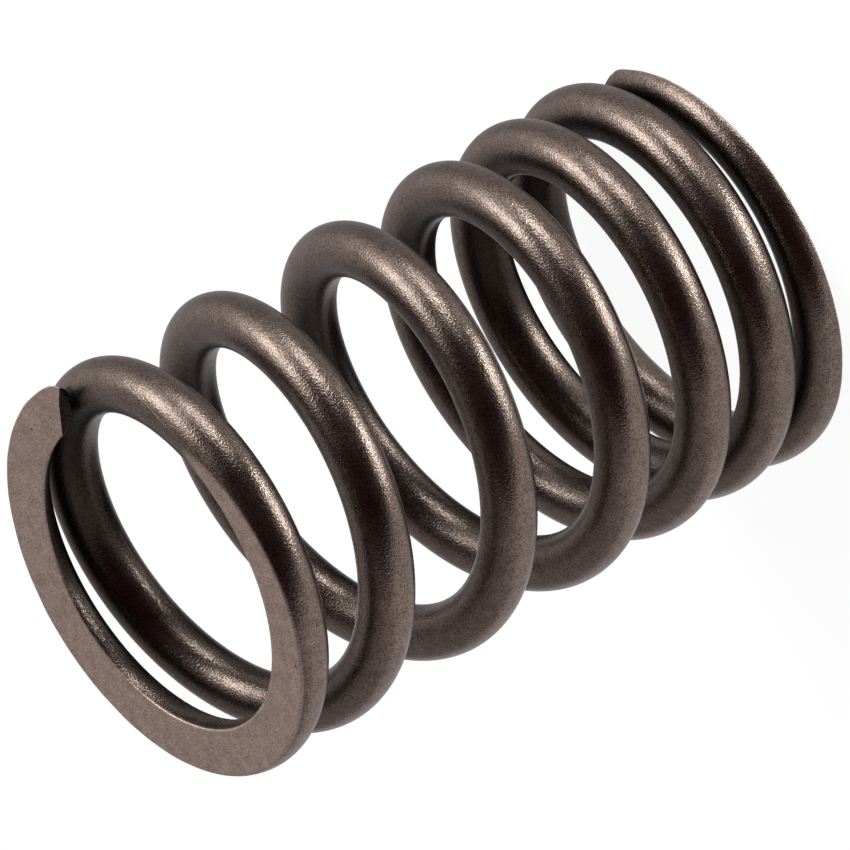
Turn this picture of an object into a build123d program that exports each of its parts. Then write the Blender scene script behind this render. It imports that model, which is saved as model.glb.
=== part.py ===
from build123d import *
from math import cos, pi, radians, sin, tan
import os

# Engine valve spring: one round wire coiled left-handed round +Z, from a dead coil at the top
# through wide coils to close coils at the foot. Both ends are ground flat, and the foot stands
# on z = 0. Places on the coil are counted in turns down the wire from the top tip, which lies
# on +X. Sizes are in millimetres.

# Wire and coil
wire_dia = 4.0
mean_dia = 27.2
free_length = 50.9
total_turns = 6.985

# Pitch: coils that all but touch at the top, then wide ones, then closer ones below, which still
# draw together where the wire ends at the foot
closed_gap = 0.05
close_pitch = 6.56
opening_start_turn, opening_end_turn = 0.80, 1.40
slowing_start_turn, slowing_end_turn = 2.74, 4.70
closing_start_turn, closing_end_turn = 4.49, 7.45

# Ground ends: wire left under the wheel at each tip, and the lean of the top face
top_tip_thickness = 0.97
foot_tip_thickness = 0.76
top_out_of_square = 1.25
top_lowest_turn = 0.74

# Wire ends: parted upright, on a slant that leaves the outer corner longest at the top
parting_slant = 40.0

# Smoothness of the path, which is a chain of arcs that leave along each other
arcs_per_turn = 16

wire_radius = wire_dia / 2
mean_radius = mean_dia / 2
closed_pitch = wire_dia + closed_gap
top_tip_height = free_length + wire_radius - top_tip_thickness
foot_tip_height = foot_tip_thickness - wire_radius
overrun = wire_dia * tan(radians(parting_slant)) / (2 * pi * mean_radius)


def ramp(turns, start, finish):
    """Smooth step that grows from 0 to 1 between two places on the wire."""
    x = min(max((turns - start) / (finish - start), 0.0), 1.0)
    return x**2 * (3 - 2 * x)


def ramp_total(turns, start, finish):
    """Area under that step, up to a place on the wire."""
    x = min(max((turns - start) / (finish - start), 0.0), 1.0)
    return (finish - start) * (x**3 - x**4 / 2) + max(turns - finish, 0.0)


# The wide pitch is what the free length leaves once the closed and close coils are laid
opened = ramp_total(total_turns, opening_start_turn, opening_end_turn)
slowed = ramp_total(total_turns, slowing_start_turn, slowing_end_turn)
closed = ramp_total(total_turns, closing_start_turn, closing_end_turn)
closed_fall = closed_pitch * (total_turns - opened + closed)
close_fall = close_pitch * (slowed - closed)
coil_fall = top_tip_height - foot_tip_height
wide_pitch = (coil_fall - closed_fall - close_fall) / (opened - slowed)


def pitch(turns):
    """Fall of the wire for a whole turn, at one place."""
    opening = (wide_pitch - closed_pitch) * ramp(turns, opening_start_turn, opening_end_turn)
    slowing = (wide_pitch - close_pitch) * ramp(turns, slowing_start_turn, slowing_end_turn)
    closing = (close_pitch - closed_pitch) * ramp(turns, closing_start_turn, closing_end_turn)
    return closed_pitch + opening - slowing - closing


def height(turns):
    """Height of the wire's centre."""
    opening = (wide_pitch - closed_pitch) * ramp_total(turns, opening_start_turn, opening_end_turn)
    slowing = (wide_pitch - close_pitch) * ramp_total(turns, slowing_start_turn, slowing_end_turn)
    closing = (close_pitch - closed_pitch) * ramp_total(turns, closing_start_turn, closing_end_turn)
    return top_tip_height - (closed_pitch * turns + opening - slowing - closing)


def centre(turns):
    """Centre of the wire."""
    angle = 2 * pi * turns
    return Vector(mean_radius * cos(angle), mean_radius * sin(angle), height(turns))


def heading(turns):
    """Direction in which the wire runs down the coil."""
    angle = 2 * pi * turns
    around = 2 * pi * mean_radius
    return Vector(-around * sin(angle), around * cos(angle), -pitch(turns)).normalized()


def coil_arcs(start, finish):
    """Path of the wire's centre, as arcs that each leave along the last."""
    count = round(arcs_per_turn * (finish - start))
    places = [start + (finish - start) * i / count for i in range(count + 1)]
    arcs = []
    leaving = heading(start)
    for here, there in zip(places, places[1:]):
        arc = TangentArc(centre(here), centre(there), tangent=leaving)
        leaving = arc % 1
        arcs.append(arc)
    return arcs


def wire_along(arcs):
    """Round wire along part of the path."""
    with BuildPart() as run:
        with BuildLine():
            add(arcs)
        with BuildSketch(Plane(arcs[0] @ 0, z_dir=arcs[0] % 0)):
            Circle(wire_radius)
        sweep()
    return run.part


def parting_plane(turns):
    """Upright plane across the wire, turned from square by the slant. It faces down the coil."""
    angle = 360 * turns + 90 - parting_slant
    facing = Vector(cos(radians(angle)), sin(radians(angle)), 0)
    return Plane(centre(turns), z_dir=facing)


arcs = coil_arcs(-overrun, total_turns + overrun)
tip_arcs = 2

with BuildPart() as top_tip:
    add(wire_along(arcs[:tip_arcs]))
    split(bisect_by=parting_plane(0), keep=Keep.TOP)

with BuildPart() as foot_tip:
    add(wire_along(arcs[-tip_arcs:]))
    split(bisect_by=parting_plane(total_turns), keep=Keep.BOTTOM)

lean = radians(top_out_of_square)
low_side = 2 * pi * top_lowest_turn
top_facing = Vector(sin(lean) * cos(low_side), sin(lean) * sin(low_side), cos(lean))
top_face = Plane((0, 0, free_length), z_dir=top_facing)

with BuildPart() as valve_spring:
    add(top_tip.part)
    add(wire_along(arcs[tip_arcs:-tip_arcs]))
    add(foot_tip.part)
    split(bisect_by=top_face, keep=Keep.BOTTOM)
    split(bisect_by=Plane.XY, keep=Keep.TOP)

valve_spring.part.label = "valve_spring"
os.makedirs("parts", exist_ok=True)
export_step(valve_spring.part, "parts/valve_spring.step")

wire_length = sum(arc.length for arc in arcs)
print("Wide pitch", round(wide_pitch, 2), "mm; wire", round(wire_length), "mm long")
print("Solids", len(valve_spring.part.solids()), "volume", round(valve_spring.part.volume))
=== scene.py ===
from math import acos, asin, atan2, cos, pi, radians, sin

import bpy
from mathutils import Matrix, Vector, noise


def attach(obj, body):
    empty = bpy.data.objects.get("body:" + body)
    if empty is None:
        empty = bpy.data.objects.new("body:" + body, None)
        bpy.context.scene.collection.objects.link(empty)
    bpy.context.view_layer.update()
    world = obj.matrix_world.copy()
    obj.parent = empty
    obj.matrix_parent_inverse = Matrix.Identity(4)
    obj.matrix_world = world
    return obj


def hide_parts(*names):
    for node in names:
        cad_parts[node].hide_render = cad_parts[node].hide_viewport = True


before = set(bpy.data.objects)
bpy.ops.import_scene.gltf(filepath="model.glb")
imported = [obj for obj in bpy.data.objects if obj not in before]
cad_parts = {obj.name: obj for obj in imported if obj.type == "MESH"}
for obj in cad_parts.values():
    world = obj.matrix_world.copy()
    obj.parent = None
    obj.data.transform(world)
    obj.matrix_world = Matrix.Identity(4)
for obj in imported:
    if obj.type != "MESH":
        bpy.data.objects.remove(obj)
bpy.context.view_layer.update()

# Spring wire: one length of round spring-steel wire, tempered in oil and coiled left-handed round
# +Z. Wide coils follow the closed top coil and closer ones the foot. Places on the wire are counted
# in turns down from its top tip, which lies on +X. Sizes are in metres.
WIRE_RADIUS = 0.0020
COIL_RADIUS = 0.0136
FREE_LENGTH = 0.0509
TOTAL_TURNS = 6.985
CLOSED_PITCH = 2 * WIRE_RADIUS + 0.00005
CLOSE_PITCH = 0.00656
OPENING_TURNS = (0.80, 1.40)
SLOWING_TURNS = (2.74, 4.70)
CLOSING_TURNS = (4.49, 7.45)
TOP_TIP_THICKNESS = 0.00097
FOOT_TIP_THICKNESS = 0.00076
NEARBY_TURNS = 0.0001


def smooth_step(value, low, high):
    """Share from 0 to 1 of the way between two values, level at both."""
    x = min(max((value - low) / (high - low), 0.0), 1.0)
    return x * x * (3 - 2 * x)


def step_total(turns, span):
    """Area under a smooth step between two places, up to a place on the wire."""
    start, finish = span
    x = min(max((turns - start) / (finish - start), 0.0), 1.0)
    return (finish - start) * (x**3 - x**4 / 2) + max(turns - finish, 0.0)


# The wide pitch is what the free length leaves once the closed and close coils are laid
opened = step_total(TOTAL_TURNS, OPENING_TURNS)
slowed = step_total(TOTAL_TURNS, SLOWING_TURNS)
closed = step_total(TOTAL_TURNS, CLOSING_TURNS)
top_tip_height = FREE_LENGTH + WIRE_RADIUS - TOP_TIP_THICKNESS
foot_tip_height = FOOT_TIP_THICKNESS - WIRE_RADIUS
closed_fall = CLOSED_PITCH * (TOTAL_TURNS - opened + closed)
close_fall = CLOSE_PITCH * (slowed - closed)
wide_pitch = (top_tip_height - foot_tip_height - closed_fall - close_fall) / (opened - slowed)


def wire_height(turns):
    opening = (wide_pitch - CLOSED_PITCH) * step_total(turns, OPENING_TURNS)
    slowing = (wide_pitch - CLOSE_PITCH) * step_total(turns, SLOWING_TURNS)
    closing = (CLOSE_PITCH - CLOSED_PITCH) * step_total(turns, CLOSING_TURNS)
    return top_tip_height - (CLOSED_PITCH * turns + opening - slowing - closing)


def wire_centre(turns):
    angle = 2 * pi * turns
    return Vector((COIL_RADIUS * cos(angle), COIL_RADIUS * sin(angle), wire_height(turns)))


def wire_axes(turns):
    """Outward and upward directions, square to the wire."""
    along = wire_centre(turns + NEARBY_TURNS) - wire_centre(turns - NEARBY_TURNS)
    outward = Vector((cos(2 * pi * turns), sin(2 * pi * turns), 0))
    upward = outward.cross(along).normalized()
    return outward, upward if upward.z > 0 else -upward


# Ground ends: both end coils are faced on a wheel, the foot square and the top a little out of
# square, so each flat runs on until the coil drops away from it. The peening that follows leaves
# the rims of the flats rounded over, more in some places than in others.
TOP_LEAN = radians(1.25)
TOP_LOWEST_TURN = 0.74
RIM_ROUNDING = 0.00013
LEAST_ROUNDING_SHARE = 0.4
SLOW_WAVER, SLOW_WAVES, SLOW_SEED = 0.9, 9, (7.3, 1.7)
QUICK_WAVER, QUICK_WAVES, QUICK_SEED = 0.5, 60, (3.1, 8.2)
MOST_OF_FLAT_ROUNDED = 0.3
RIM_POINTS = 5
SIDE_POINTS = 31
NARROWEST_FLAT = radians(14)
EVENING_TURNS = 0.20
FLAT_SEARCH_FROM, FLAT_SEARCH_STEP = 0.1, 0.001

low_side = 2 * pi * TOP_LOWEST_TURN
top_facing = Vector((sin(TOP_LEAN) * cos(low_side), sin(TOP_LEAN) * sin(low_side), cos(TOP_LEAN)))
top_face = (Vector((0, 0, FREE_LENGTH)), top_facing)
foot_face = (Vector((0, 0, 0)), Vector((0, 0, -1)))


def ground_cut(turns, face):
    """Where a ground face cuts the wire: the angle it faces, its half angle and its depth."""
    place, facing = face
    outward, upward = wire_axes(turns)
    faced = Vector((outward.dot(facing), upward.dot(facing)))
    depth = (place - wire_centre(turns)).dot(facing) / faced.length
    half = acos(min(max(depth / WIRE_RADIUS, -1.0), 1.0))
    return atan2(faced.y, faced.x), half, depth


def flat_runs_to(face, turns, step):
    """Place on the wire at which a flat runs out."""
    while ground_cut(turns, face)[1] > 0:
        turns += step
    return turns


top_flat_end = flat_runs_to(top_face, FLAT_SEARCH_FROM, FLAT_SEARCH_STEP)
foot_flat_end = flat_runs_to(foot_face, TOTAL_TURNS - FLAT_SEARCH_FROM, -FLAT_SEARCH_STEP)


def rounding_at(turns, side):
    """Size of the rounding on one rim, which wavers along the wire."""
    slow = noise.noise(Vector((turns * SLOW_WAVES, side * SLOW_SEED[0], SLOW_SEED[1])))
    quick = noise.noise(Vector((turns * QUICK_WAVES, side * QUICK_SEED[0], QUICK_SEED[1])))
    return RIM_ROUNDING * max(LEAST_ROUNDING_SHARE, 1 + SLOW_WAVER * slow + QUICK_WAVER * quick)


def section(turns):
    """Round section of the wire with its flat, as (out, up) pairs: two rims and the sides between.
    Past the end of the flat, the points spread evenly over the whole round."""
    on_top = turns < TOTAL_TURNS / 2
    faced, half, depth = ground_cut(turns, top_face if on_top else foot_face)
    past_flat = turns - top_flat_end if on_top else foot_flat_end - turns
    evenness = smooth_step(past_flat, 0, EVENING_TURNS)
    half = max(half, NARROWEST_FLAT + (pi / 2 - NARROWEST_FLAT) * evenness)
    half_width = WIRE_RADIUS * sin(half)
    even_rim = pi * (RIM_POINTS - 1) / (RIM_POINTS + SIDE_POINTS)
    across = Vector((-sin(faced), cos(faced)))
    toward = Vector((cos(faced), sin(faced)))

    def on_round(angle):
        return (toward * cos(angle) + across * sin(angle)) * WIRE_RADIUS

    def on_flat(share):
        if half > pi / 2:
            return across * half_width * share + toward * depth
        by_angle = WIRE_RADIUS * sin(half * share)
        x = half_width * share + (by_angle - half_width * share) * evenness
        return across * x + toward * min((WIRE_RADIUS**2 - x**2) ** 0.5, max(depth, 0))

    rims, flat_share, round_angle = [], [], []
    for side in (1, -1):
        rounding = min(rounding_at(turns, side), MOST_OF_FLAT_ROUNDED * half_width)
        outer_angle = half + rounding / WIRE_RADIUS
        outer_angle += (half + even_rim / 2 - outer_angle) * evenness
        inner_share = 1 - rounding / half_width
        inner_share += (1 - even_rim / 2 / half - inner_share) * evenness
        start, corner, finish = on_round(side * outer_angle), on_flat(side), on_flat(side * inner_share)
        rim = []
        for i in range(RIM_POINTS):
            t = i / (RIM_POINTS - 1)
            rounded = start * (1 - t) ** 2 + corner * 2 * t * (1 - t) + finish * t**2
            even = on_round(side * (outer_angle - even_rim * t))
            rim.append(rounded.lerp(even, evenness))
        rims.append(rim)
        flat_share.append(side * inner_share)
        round_angle.append(side * outer_angle)
    steps = [(i + 1) / (SIDE_POINTS + 1) for i in range(SIDE_POINTS)]
    flat = [on_flat(flat_share[0] + (flat_share[1] - flat_share[0]) * s) for s in steps]
    round_span = round_angle[0] - 2 * pi - round_angle[1]
    back = [on_round(round_angle[1] + round_span * s) for s in steps]
    if on_top:
        return rims[0] + flat + rims[1][::-1] + back
    return rims[1][::-1] + back + rims[0] + flat


# Parted ends: the wire is sheared off upright on a slant, so the top tip is longest at its outer
# corner, which handling has worn round. The sheared face is small, rough and rounded at its edge.
PARTING_SLANT = radians(40)
SLANT_FADE_TURNS = 0.09
WORN_LENGTH = 0.0013
WORN_DEPTH = 0.00045
PARTED_ROUNDING = 0.00012
ROUNDING_RINGS = 3
ROUNDING_WAVER, ROUNDING_WAVES = 0.5, 2500
TEAR_DEPTH, TEAR_WAVES = 0.00003, 4000
TORN_RING_SHARES = (0.35, 0.7)
RINGS_PER_TURN = 160
FINE_RINGS, FINE_SPACING = 16, 0.25
PEENED, PARTED = 0, 1


def parting_shift(out):
    """How far along the wire, in turns, the slanted cut lies from the square one."""
    return (asin(COIL_RADIUS * sin(PARTING_SLANT) / (COIL_RADIUS + out)) - PARTING_SLANT) / (2 * pi)


def ring_at(turns):
    """One ring of points round the wire, slanted and worn where it is near a parted end."""
    near_tip = min(turns, TOTAL_TURNS - turns)
    slanted = 1 - near_tip / SLANT_FADE_TURNS
    worn = max(0, 1 - near_tip * 2 * pi * COIL_RADIUS / WORN_LENGTH) ** 2 * WORN_DEPTH
    points = []
    for k, (out, up) in enumerate(section(turns)):
        place = turns
        if slanted > 0:
            place = turns + parting_shift(out) * slanted
            out, up = section(place)[k]
        out -= worn * smooth_step(out / WIRE_RADIUS, 0, 1)
        outward, upward = wire_axes(place)
        points.append(wire_centre(place) + outward * out + upward * up)
    return points


def parted_rings(rim, lengthwise):
    """Rings that round the sheared edge over and close the sheared face, and the face's middle."""
    middle = sum(rim, Vector()) / len(rim)
    rings = []
    for step in range(1, ROUNDING_RINGS + 1):
        turn = pi / 2 * step / ROUNDING_RINGS
        drawn_in, pushed_out = PARTED_ROUNDING * (1 - cos(turn)), PARTED_ROUNDING * sin(turn)
        ring = []
        for point in rim:
            uneven = 1 + ROUNDING_WAVER * noise.noise(point * ROUNDING_WAVES)
            inward = (middle - point).normalized() * drawn_in * uneven
            ring.append(point + inward + lengthwise * pushed_out)
        rings.append(ring)
    edge = rings[-1]
    middle = middle + lengthwise * PARTED_ROUNDING
    for share in TORN_RING_SHARES:
        ring = []
        for point in edge:
            torn = noise.noise(point * TEAR_WAVES) * TEAR_DEPTH
            ring.append(point.lerp(middle, share) + lengthwise * torn)
        rings.append(ring)
    return rings, middle


ring_count = round(RINGS_PER_TURN * TOTAL_TURNS)
rounding_turns = PARTED_ROUNDING / (2 * pi * COIL_RADIUS)
first, last = rounding_turns, TOTAL_TURNS - rounding_turns
even_rings = ring_count - round(2 * FINE_RINGS * FINE_SPACING)
spacings = [FINE_SPACING] * FINE_RINGS + [1.0] * even_rings + [FINE_SPACING] * FINE_RINGS
places = [first]
for spacing in spacings:
    places.append(places[-1] + spacing * (last - first) / ring_count)
coil_rings = [ring_at(turns) for turns in places]

square_to_cut = Vector((sin(PARTING_SLANT), cos(PARTING_SLANT), 0))
to_foot_tip = Matrix.Rotation(2 * pi * TOTAL_TURNS, 3, "Z")
top_cap, top_middle = parted_rings(coil_rings[0], -square_to_cut)
foot_cap, foot_middle = parted_rings(coil_rings[-1], to_foot_tip @ square_to_cut)

rings = top_cap[::-1] + coil_rings + foot_cap
around = len(rings[0])
points = [tuple(point) for ring in rings for point in ring]
points += [tuple(top_middle), tuple(foot_middle)]
faces, finishes = [], []
for i in range(len(rings) - 1):
    on_cap = i < len(top_cap) or i >= len(top_cap) + len(spacings)
    for k in range(around):
        j = (k + 1) % around
        faces.append((i * around + k, i * around + j, (i + 1) * around + j, (i + 1) * around + k))
        finishes.append(PARTED if on_cap else PEENED)
last_ring = (len(rings) - 1) * around
for k in range(around):
    j = (k + 1) % around
    faces.append((j, k, len(points) - 2))
    faces.append((last_ring + k, last_ring + j, len(points) - 1))
    finishes += [PARTED, PARTED]

wire_mesh = bpy.data.meshes.new("spring_wire")
wire_mesh.from_pydata(points, [], faces)
wire_mesh.polygons.foreach_set("material_index", finishes)
wire_mesh.polygons.foreach_set("use_smooth", [True] * len(faces))
wire_mesh.update()
spring_wire = bpy.data.objects.new("spring_wire", wire_mesh)
bpy.context.collection.objects.link(spring_wire)
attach(spring_wire, "root")
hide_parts("valve_spring")


# Peened finish: the tempered wire is dark bronze-brown, and the shot has left it covered with
# overlapping round dimples about a sixth of a millimetre across. Their slopes break its shine into
# bright grains, and their hollows stay darker than the ridges between them.
EDGE_TINT = 0.8
BOWL_POWER = 2.0
GRITS_PER_DIMPLE, GRIT_SHARE = 1.7, 0.30
GRIT_DETAIL, GRIT_ROUGHNESS = 2.0, 0.6
HOLLOW_RELIEF, RIDGE_RELIEF = 0.12, 0.42
PATCH_DETAIL = 4.0


def finish_socket(material, name):
    return material.node_tree.nodes["Principled BSDF"].inputs[name]


def surface_place(material):
    """Place of each spot on the surface."""
    return material.node_tree.nodes.new("ShaderNodeTexCoord").outputs["Object"]


def calculated(material, operation, *values):
    """Result of a sum on plain numbers and on values that the nodes work out."""
    working = material.node_tree.nodes.new("ShaderNodeMath")
    working.operation = operation
    for socket, value in zip(working.inputs, values):
        if isinstance(value, (int, float)):
            socket.default_value = value
        else:
            material.node_tree.links.new(value, socket)
    return working.outputs["Value"]


def reach_along(material, vector, facing):
    """How far a vector in the nodes reaches in one direction."""
    reach = material.node_tree.nodes.new("ShaderNodeVectorMath")
    reach.operation = "DOT_PRODUCT"
    reach.inputs[1].default_value = facing
    material.node_tree.links.new(vector, reach.inputs[0])
    return reach.outputs["Value"]


def eased(material, value, start, finish, from_level, to_level):
    """Level that changes smoothly while a value goes from start to finish."""
    ease = material.node_tree.nodes.new("ShaderNodeMapRange")
    ease.interpolation_type = "SMOOTHSTEP"
    levels = {"From Min": start, "From Max": finish, "To Min": from_level, "To Max": to_level}
    for name, level in levels.items():
        ease.inputs[name].default_value = level
    material.node_tree.links.new(value, ease.inputs["Value"])
    return ease.outputs["Result"]


def blended(material, share, first_colour, second_colour):
    """Colour between two colours, by a share that the nodes work out."""
    blend = material.node_tree.nodes.new("ShaderNodeMixRGB")
    material.node_tree.links.new(share, blend.inputs["Fac"])
    for socket, colour in (("Color1", first_colour), ("Color2", second_colour)):
        if isinstance(colour, tuple):
            blend.inputs[socket].default_value = (*colour, 1)
        else:
            material.node_tree.links.new(colour, blend.inputs[socket])
    return blend.outputs["Color"]


def scale_colour(material, factor):
    """Multiply the finish's colour by a number that the nodes work out."""
    links = material.node_tree.links
    colour = finish_socket(material, "Base Color")
    scaled = material.node_tree.nodes.new("ShaderNodeVectorMath")
    scaled.operation = "SCALE"
    links.new(colour.links[0].from_socket, scaled.inputs["Vector"])
    links.new(factor, scaled.inputs["Scale"])
    links.new(scaled.outputs["Vector"], colour)


def patches(material, patch_size, middle, spread):
    """Level that wanders about a middle value, in patches of one size."""
    handled = material.node_tree.nodes.new("ShaderNodeTexNoise")
    handled.inputs["Scale"].default_value = 1 / patch_size
    handled.inputs["Detail"].default_value = PATCH_DETAIL
    material.node_tree.links.new(surface_place(material), handled.inputs["Vector"])
    return calculated(material, "MULTIPLY_ADD", handled.outputs["Fac"], spread, middle - spread / 2)


def height_over(material, point, facing):
    """Height of the surface over the plane that faces one way at a point."""
    reach = reach_along(material, surface_place(material), facing)
    return calculated(material, "SUBTRACT", reach, point.dot(facing))


def distance_from(material, centre, in_plan=False):
    """Distance of the surface from a point, or in plan from the upright line through it."""
    nodes, links = material.node_tree.nodes, material.node_tree.links
    place = surface_place(material)
    if in_plan:
        flattened = nodes.new("ShaderNodeVectorMath")
        flattened.operation = "MULTIPLY"
        flattened.inputs[1].default_value = (1, 1, 0)
        links.new(place, flattened.inputs[0])
        place = flattened.outputs["Vector"]
    away = nodes.new("ShaderNodeVectorMath")
    away.operation = "DISTANCE"
    away.inputs[1].default_value = centre
    links.new(place, away.inputs[0])
    return away.outputs["Value"]


def peened_steel(name, dimple_size, dimple_slope, hollow_colour, ridge_colour):
    """Steel covered with shot dimples, and how far out of them each spot lies, from 0 to 1."""
    material = bpy.data.materials.new(name)
    material.use_nodes = True
    nodes, links = material.node_tree.nodes, material.node_tree.links
    place = surface_place(material)

    dimples = nodes.new("ShaderNodeTexVoronoi")
    dimples.inputs["Scale"].default_value = 1 / dimple_size
    links.new(place, dimples.inputs["Vector"])
    bowls = calculated(material, "POWER", dimples.outputs["Distance"], BOWL_POWER)

    grit = nodes.new("ShaderNodeTexNoise")
    grit.inputs["Scale"].default_value = GRITS_PER_DIMPLE / dimple_size
    grit.inputs["Detail"].default_value = GRIT_DETAIL
    grit.inputs["Roughness"].default_value = GRIT_ROUGHNESS
    links.new(place, grit.inputs["Vector"])
    relief = calculated(material, "MULTIPLY_ADD", grit.outputs["Fac"], GRIT_SHARE, bowls)

    bump = nodes.new("ShaderNodeBump")
    bump.inputs["Distance"].default_value = dimple_slope * dimple_size
    links.new(relief, bump.inputs["Height"])
    from_hollow_to_ridge = nodes.new("ShaderNodeMapRange")
    from_hollow_to_ridge.inputs["From Min"].default_value = HOLLOW_RELIEF
    from_hollow_to_ridge.inputs["From Max"].default_value = RIDGE_RELIEF
    links.new(relief, from_hollow_to_ridge.inputs["Value"])
    out_of_dimples = from_hollow_to_ridge.outputs["Result"]

    finish_socket(material, "Metallic").default_value = 1.0
    finish_socket(material, "Specular Tint").default_value = (EDGE_TINT, EDGE_TINT, EDGE_TINT, 1)
    links.new(bump.outputs["Normal"], finish_socket(material, "Normal"))
    colour = blended(material, out_of_dimples, hollow_colour, ridge_colour)
    links.new(colour, finish_socket(material, "Base Color"))
    return material, out_of_dimples


WIRE_DIMPLE_SIZE, WIRE_DIMPLE_SLOPE = 0.00015, 0.088
WIRE_HOLLOW, WIRE_RIDGE = (0.056, 0.033, 0.031), (0.182, 0.149, 0.126)
wire_finish, out_of_dimples = peened_steel(
    "peened_wire", WIRE_DIMPLE_SIZE, WIRE_DIMPLE_SLOPE, WIRE_HOLLOW, WIRE_RIDGE
)
wire_links = wire_finish.node_tree.links

# Painted shade: the colour of the inside of the coil is darkened, and darkest on the side that
# the top tip lies on.
INSIDE_FROM, INSIDE_TO = COIL_RADIUS - 0.0018, COIL_RADIUS
INSIDE_SHADE, DARK_SIDE_SHADE = 0.78, 0.26
DARK_SIDE_AZIMUTH = radians(30)
DARK_SIDE_FROM, DARK_SIDE_TO = 0.0050, 0.0100
dark_side = Vector((cos(DARK_SIDE_AZIMUTH), sin(DARK_SIDE_AZIMUTH), 0))
from_axis = distance_from(wire_finish, (0, 0, 0), in_plan=True)
inside = eased(wire_finish, from_axis, INSIDE_FROM, INSIDE_TO, 1.0, 0.0)
to_dark_side = height_over(wire_finish, Vector(), dark_side)
shade = eased(wire_finish, to_dark_side, DARK_SIDE_FROM, DARK_SIDE_TO, INSIDE_SHADE, DARK_SIDE_SHADE)
darkening = calculated(wire_finish, "SUBTRACT", shade, 1.0)
scale_colour(wire_finish, calculated(wire_finish, "MULTIPLY_ADD", inside, darkening, 1.0))

# Painted shade: where one coil almost closes on the next, the colour is darkened in the crevice.
CREVICE_REACH = 0.0040
CREVICE_CLOSED, CREVICE_OPEN = 0.25, 0.80
CREVICE_SHADE = 0.35
CREVICE_SAMPLES = 4
crevice = wire_finish.node_tree.nodes.new("ShaderNodeAmbientOcclusion")
crevice.only_local = True
crevice.samples = CREVICE_SAMPLES
crevice.inputs["Distance"].default_value = CREVICE_REACH
scale_colour(
    wire_finish,
    eased(wire_finish, crevice.outputs["AO"], CREVICE_CLOSED, CREVICE_OPEN, CREVICE_SHADE, 1.0),
)

# The ground faces are cut into clean metal before the peening, so they are lighter and more matt.
# Over their rounded rims this fades into the look of the wire.
GROUND_HOLLOW, GROUND_RIDGE = (0.23, 0.182, 0.157), (0.505, 0.411, 0.349)
RIM_FADE_FROM, RIM_FADE_TO = 0.00001, 0.00018
below_top = calculated(wire_finish, "MULTIPLY", height_over(wire_finish, *top_face), -1.0)
above_foot = calculated(wire_finish, "MULTIPLY", height_over(wire_finish, *foot_face), -1.0)
below_face = calculated(wire_finish, "MINIMUM", below_top, above_foot)
ground = eased(wire_finish, below_face, RIM_FADE_FROM, RIM_FADE_TO, 1.0, 0.0)
ground_colour = blended(wire_finish, out_of_dimples, GROUND_HOLLOW, GROUND_RIDGE)
base_colour = finish_socket(wire_finish, "Base Color")
wire_colour = base_colour.links[0].from_socket
wire_links.new(blended(wire_finish, ground, wire_colour, ground_colour), base_colour)

# Both are mottled: small patches differ in colour, and larger ones in gloss.
COLOUR_PATCH_SIZE, COLOUR_SPREAD = 0.0009, 0.7
GLOSS_PATCH_SIZE, ROUGHNESS_SPREAD = 0.0033, 0.2
WIRE_ROUGHNESS, GROUND_ROUGHNESS = 0.30, 0.48
ground_rougher_by = GROUND_ROUGHNESS - WIRE_ROUGHNESS
scale_colour(wire_finish, patches(wire_finish, COLOUR_PATCH_SIZE, 1.0, COLOUR_SPREAD))
roughness = patches(wire_finish, GLOSS_PATCH_SIZE, WIRE_ROUGHNESS, ROUGHNESS_SPREAD)
roughness = calculated(wire_finish, "MULTIPLY_ADD", ground, ground_rougher_by, roughness)
wire_links.new(roughness, finish_socket(wire_finish, "Roughness"))

# The sheared faces are torn, not peened: coarser and without a clear shine. Their almost black colour
# is painted shade.
TEAR_SIZE, TEAR_SLOPE = 0.00024, 0.30
SHADED_TEAR_HOLLOW, SHADED_TEAR_RIDGE = (0.012, 0.008, 0.007), (0.036, 0.025, 0.022)
TORN_ROUGHNESS = 0.45
parted_finish, _ = peened_steel("parted_end", TEAR_SIZE, TEAR_SLOPE, SHADED_TEAR_HOLLOW, SHADED_TEAR_RIDGE)
finish_socket(parted_finish, "Roughness").default_value = TORN_ROUGHNESS
for steel in (wire_finish, parted_finish):
    wire_mesh.materials.append(steel)


# Marks of use on the top ground face: two small pits, painted dark for the shade in them, and a
# short light scratch by the outer rim.
# A shadow is painted on the coil under it, where the parted end all but touches.
PIT_PLACES = ((0.01307, 0.00485, 0.05102), (-0.00957, -0.01110, 0.05065))
PIT_RADIUS = 0.00011
PIT_FROM, PIT_TO = 0.6 * PIT_RADIUS, 1.4 * PIT_RADIUS
PIT_SHADE = 0.25
for pit_place in PIT_PLACES:
    from_pit = distance_from(wire_finish, pit_place)
    scale_colour(wire_finish, eased(wire_finish, from_pit, PIT_FROM, PIT_TO, PIT_SHADE, 1.0))

SCRATCH_CENTRE = (-0.01131, 0.00111, 0)
SCRATCH_RADIUS = 0.00255
SCRATCH_CORE, SCRATCH_HALF_WIDTH = 0.000015, 0.00005
SCRATCH_MIDDLE = (-0.01384, 0.00130, 0.05091)
SCRATCH_FADE_FROM, SCRATCH_HALF_LENGTH = 0.00051, 0.00085
SCRATCH_GAIN = 0.45
from_centre = distance_from(wire_finish, SCRATCH_CENTRE, in_plan=True)
past_line = calculated(wire_finish, "SUBTRACT", from_centre, SCRATCH_RADIUS)
off_line = calculated(wire_finish, "ABSOLUTE", past_line)
on_line = eased(wire_finish, off_line, SCRATCH_CORE, SCRATCH_HALF_WIDTH, 1.0, 0.0)
from_middle = distance_from(wire_finish, SCRATCH_MIDDLE)
in_reach = eased(wire_finish, from_middle, SCRATCH_FADE_FROM, SCRATCH_HALF_LENGTH, 1.0, 0.0)
scratched = calculated(wire_finish, "MULTIPLY", on_line, in_reach)
scale_colour(wire_finish, calculated(wire_finish, "MULTIPLY_ADD", scratched, SCRATCH_GAIN, 1.0))

# Painted shadow of the parted end on the coil below it, which leaves the ground face clean.
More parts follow.
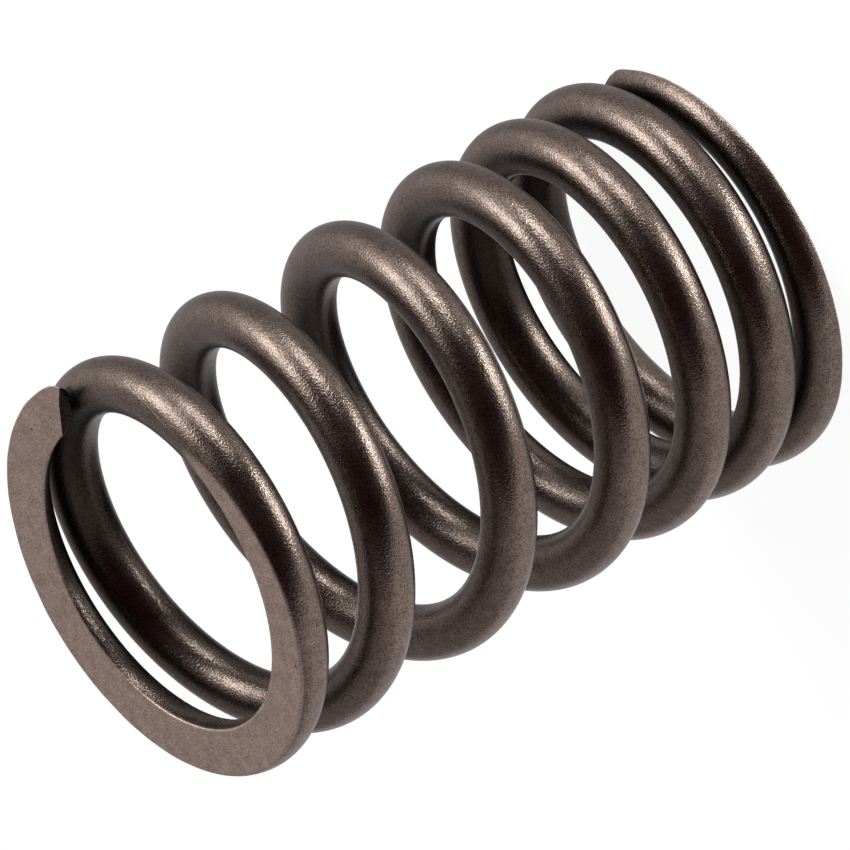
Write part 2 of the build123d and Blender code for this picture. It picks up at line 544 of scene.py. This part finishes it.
TIP_SHADOW_PLACE = (0.0137, 0.0002, 0.0498)
TIP_SHADOW_FROM, TIP_SHADOW_TO = 0.0008, 0.0011
TIP_SHADOW_SHADE = 0.12
from_tip_shadow = distance_from(wire_finish, TIP_SHADOW_PLACE)
off_tip_shadow = eased(wire_finish, from_tip_shadow, TIP_SHADOW_FROM, TIP_SHADOW_TO, TIP_SHADOW_SHADE, 1.0)
scale_colour(wire_finish, calculated(wire_finish, "MAXIMUM", off_tip_shadow, ground))


# Floor: a plain white sweep that the spring stands on. It shows white to the camera and keeps the
# soft shadow under the coils. In the steel it shows a painted reflection: a pale glow, lighter on
# one side, with the dark card painted into it.
FLOOR_SIZE = 4.0
FLOOR_WHITE = 0.85
SHADOW_STRENGTH, FLOOR_GLOW = 0.16, 0.93
SWEEP_LEVEL = 0.82
SWEEP_LEAN = Vector((-0.37, -0.06, 0))
ROOM_COLOUR = (1.0, 0.93, 0.94)
CARD_COLOUR = (0.045, 0.012, 0.016)
CARD_AZIMUTH, CARD_ELEVATION = -81, 30
CARD_INNER, CARD_OUTER = cos(radians(50)), cos(radians(60))

floor_mesh = bpy.data.meshes.new("floor")
half_floor = FLOOR_SIZE / 2
corners = [(x * half_floor, y * half_floor, 0) for x, y in ((-1, -1), (1, -1), (1, 1), (-1, 1))]
floor_mesh.from_pydata(corners, [], [(0, 1, 2, 3)])
floor = bpy.data.objects.new("floor", floor_mesh)
bpy.context.collection.objects.link(floor)


def direction(azimuth, elevation):
    azimuth, elevation = radians(azimuth), radians(elevation)
    return Vector((cos(elevation) * cos(azimuth), cos(elevation) * sin(azimuth), sin(elevation)))


def card_shade(material, outlook):
    """1 in the open and 0 where the dark card hides the light."""
    to_card = reach_along(material, outlook, direction(CARD_AZIMUTH, CARD_ELEVATION))
    return eased(material, to_card, CARD_OUTER, CARD_INNER, 1.0, 0.0)


def room_colour(material, level, openness):
    """The pale room at one level, which gives way to dark red-brown where it isn't open."""
    lit_room = material.node_tree.nodes.new("ShaderNodeVectorMath")
    lit_room.operation = "SCALE"
    lit_room.inputs["Vector"].default_value = ROOM_COLOUR
    material.node_tree.links.new(level, lit_room.inputs["Scale"])
    return blended(material, openness, CARD_COLOUR, lit_room.outputs["Vector"])


floor_finish = bpy.data.materials.new("white_sweep")
floor_finish.use_nodes = True
nodes, links = floor_finish.node_tree.nodes, floor_finish.node_tree.links
nodes.clear()
output = nodes.new("ShaderNodeOutputMaterial")
lit = nodes.new("ShaderNodeBsdfDiffuse")
lit.inputs["Color"].default_value = (FLOOR_WHITE, FLOOR_WHITE, FLOOR_WHITE, 1)

faint = nodes.new("ShaderNodeBsdfDiffuse")
faint.inputs["Color"].default_value = (SHADOW_STRENGTH, SHADOW_STRENGTH, SHADOW_STRENGTH, 1)
glow = nodes.new("ShaderNodeEmission")
glow.inputs["Strength"].default_value = FLOOR_GLOW
to_camera = nodes.new("ShaderNodeAddShader")
links.new(faint.outputs["BSDF"], to_camera.inputs[0])
links.new(glow.outputs["Emission"], to_camera.inputs[1])

# Painted reflection: what the steel sees of the floor glows by direction from the spring, with the dark
# card in it.
from_spring = nodes.new("ShaderNodeVectorMath")
from_spring.operation = "SUBTRACT"
from_spring.inputs[1].default_value = (0, 0, FREE_LENGTH / 2)
links.new(surface_place(floor_finish), from_spring.inputs[0])
unit_length = nodes.new("ShaderNodeVectorMath")
unit_length.operation = "NORMALIZE"
links.new(from_spring.outputs["Vector"], unit_length.inputs[0])
outlook = unit_length.outputs["Vector"]
sweep_fall = reach_along(floor_finish, outlook, SWEEP_LEAN * SWEEP_LEVEL)
sweep_level = calculated(floor_finish, "ADD", sweep_fall, SWEEP_LEVEL)
mirrored_colour = room_colour(floor_finish, sweep_level, card_shade(floor_finish, outlook))
mirrored = nodes.new("ShaderNodeEmission")
links.new(mirrored_colour, mirrored.inputs["Color"])

ray = nodes.new("ShaderNodeLightPath")
in_steel = nodes.new("ShaderNodeMixShader")
links.new(ray.outputs["Is Glossy Ray"], in_steel.inputs["Fac"])
links.new(lit.outputs["BSDF"], in_steel.inputs[1])
links.new(mirrored.outputs["Emission"], in_steel.inputs[2])
shown = nodes.new("ShaderNodeMixShader")
links.new(ray.outputs["Is Camera Ray"], shown.inputs["Fac"])
links.new(in_steel.outputs["Shader"], shown.inputs[1])
links.new(to_camera.outputs["Shader"], shown.inputs[2])
links.new(shown.outputs["Shader"], output.inputs["Surface"])
floor_mesh.materials.append(floor_finish)


# Studio: a pale room that is darker overhead, with a dark card before the spring and three round
# soft lamps. Two lamps shine up through the white sweep, which doesn't hold their light back, and
# only the spring shades them.
LAMP_DISTANCE = 0.5
LAMPS = (
    # name, azimuth, elevation and half angle in degrees, radiance
    ("side_lamp", 4, 37, 12.8, 9.0),
    ("low_lamp", -32, -9, 14.0, 7.6),
    ("front_lamp", -86, -47, 14.3, 9.3),
)
middle_of_spring = Vector((0, 0, FREE_LENGTH / 2))
held_back_by = bpy.data.collections.new("held_back_by_spring_only")
held_back_by.objects.link(spring_wire)
for name, azimuth, elevation, half_angle, radiance in LAMPS:
    lamp = bpy.data.lights.new(name, "AREA")
    lamp.shape = "DISK"
    lamp.size = 2 * LAMP_DISTANCE * sin(radians(half_angle))
    disk_area = pi * (lamp.size / 2) ** 2
    lamp.energy = radiance * pi * disk_area
    holder = bpy.data.objects.new(name, lamp)
    toward = direction(azimuth, elevation)
    holder.location = middle_of_spring + toward * LAMP_DISTANCE
    holder.rotation_euler = toward.to_track_quat("Z", "Y").to_euler()
    holder.visible_camera = False
    if elevation < 0:
        holder.light_linking.blocker_collection = held_back_by
        lamp.cycles.use_multiple_importance_sampling = False
    bpy.context.collection.objects.link(holder)

OVERHEAD_FROM, OVERHEAD_TO = radians(10), radians(85)
OVERHEAD_SHADE = 0.16
ROOM_LEVEL = 1.06
ROOM_LEAN = Vector((0.435, -0.477, 0))
WHITE = (1, 1, 1)
room = bpy.data.worlds.new("pale_room")
room.use_nodes = True
bpy.context.scene.world = room
nodes, links = room.node_tree.nodes, room.node_tree.links
outlook = nodes.new("ShaderNodeTexCoord").outputs["Generated"]
split = nodes.new("ShaderNodeSeparateXYZ")
links.new(outlook, split.inputs["Vector"])
height = calculated(room, "ARCSINE", split.outputs["Z"])
overhead = eased(room, height, OVERHEAD_FROM, OVERHEAD_TO, 1.0, OVERHEAD_SHADE)
openness = calculated(room, "MULTIPLY", overhead, card_shade(room, outlook))
room_level = calculated(room, "ADD", reach_along(room, outlook, ROOM_LEAN), ROOM_LEVEL)
ray = nodes.new("ShaderNodeLightPath")
around_spring = room_colour(room, room_level, openness)
seen_colour = blended(room, ray.outputs["Is Camera Ray"], around_spring, WHITE)
links.new(seen_colour, nodes["Background"].inputs["Color"])


# Camera: a long lens that looks down on the spring from the side of its top end, rolled so that
# the coil runs from the lower left to the upper right of the picture.
CAMERA_AZIMUTH = -86.96
CAMERA_ELEVATION = 30.11
CAMERA_ROLL = -120.41
CAMERA_DISTANCE = 1.0264
SENSOR_WIDTH, LENS = 36, 617.43
PICTURE_PIXELS = 850
SHIFT_PIXELS_X, SHIFT_PIXELS_Y = -0.4, 0.4
aim = Vector((-0.000365, 0.000372, 0.025674))
camera_data = bpy.data.cameras.new("camera")
camera_data.sensor_width = SENSOR_WIDTH
camera_data.lens = LENS
camera_data.shift_x = SHIFT_PIXELS_X / PICTURE_PIXELS
camera_data.shift_y = SHIFT_PIXELS_Y / PICTURE_PIXELS
camera = bpy.data.objects.new("camera", camera_data)
backward = direction(CAMERA_AZIMUTH, CAMERA_ELEVATION)
upright = backward.to_track_quat("Z", "Y").to_matrix().to_4x4()
rolled = upright @ Matrix.Rotation(radians(CAMERA_ROLL), 4, "Z")
camera.matrix_world = Matrix.Translation(aim + backward * CAMERA_DISTANCE) @ rolled
bpy.context.collection.objects.link(camera)
bpy.context.scene.camera = camera
bpy.context.scene.view_settings.view_transform = "Standard"
